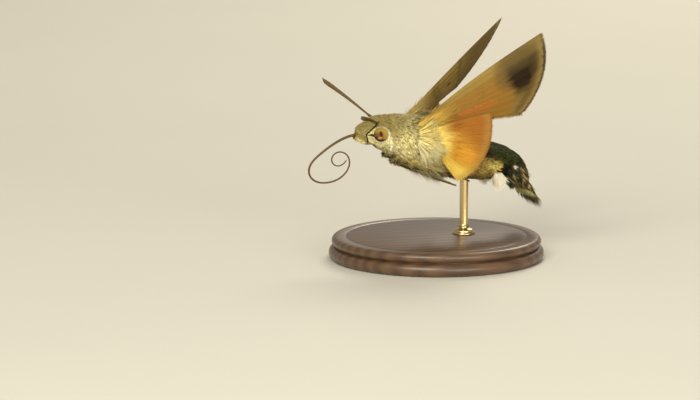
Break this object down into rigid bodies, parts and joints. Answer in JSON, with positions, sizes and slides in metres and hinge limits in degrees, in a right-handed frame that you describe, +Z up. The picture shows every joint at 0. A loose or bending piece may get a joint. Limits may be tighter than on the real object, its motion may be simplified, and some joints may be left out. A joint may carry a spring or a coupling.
{
  "type": "hummingbird hawk moth display model",
  "caption": "Hovering hawk moth with raised wings, curled proboscis, clubbed antennae and a fan tail, held on a round base by a slim rod.",
  "frame": {"origin": "middle of the underside of the stand's base", "axes": "-X is the way the moth faces, -Y is its left side, +Z is up"},
  "size_m": [0.0342, 0.03, 0.0322],
  "materials": {
    "head_fur": "short dense scales and hair, cream round the eye and throat",
    "thorax_fur": "olive brown fur",
    "abdomen_scales": "brown scales with yellow, black and white side patches",
    "tail_scales": "long black scales in a fan",
    "eye": "glossy brown compound eye",
    "horn": "dark brown, finely ringed",
    "forewing_scales": "grey brown above, orange brown below, dark outer part",
    "hindwing_scales": "bright orange with a brown margin",
    "leg_scales": "brown scales",
    "stand_wood": "dark satin wood",
    "stand_metal": "satin brass"
  },
  "bodies": {
    "root": {"head": "head_fur", "thorax": "thorax_fur", "abdomen_front": "abdomen_scales", "abdomen_rear": "abdomen_scales", "tail_fan": "tail_scales", "eye_left": "eye", "eye_right": "eye", "palp_left": "head_fur", "palp_right": "head_fur", "antenna_left": "horn", "antenna_right": "horn", "proboscis_root": "horn", "proboscis_arm": "horn", "proboscis_bend": "horn", "proboscis_curl": "horn", "forewing_left": "forewing_scales", "forewing_right": "forewing_scales", "hindwing_left": "hindwing_scales", "hindwing_right": "hindwing_scales", "leg_front_left": "leg_scales", "leg_front_right": "leg_scales", "leg_middle_left": "leg_scales", "leg_middle_right": "leg_scales", "leg_hind_left": "leg_scales", "leg_hind_right": "leg_scales", "stand_base": "stand_wood", "stand_rod": "stand_metal"}
  },
  "joints": []
}
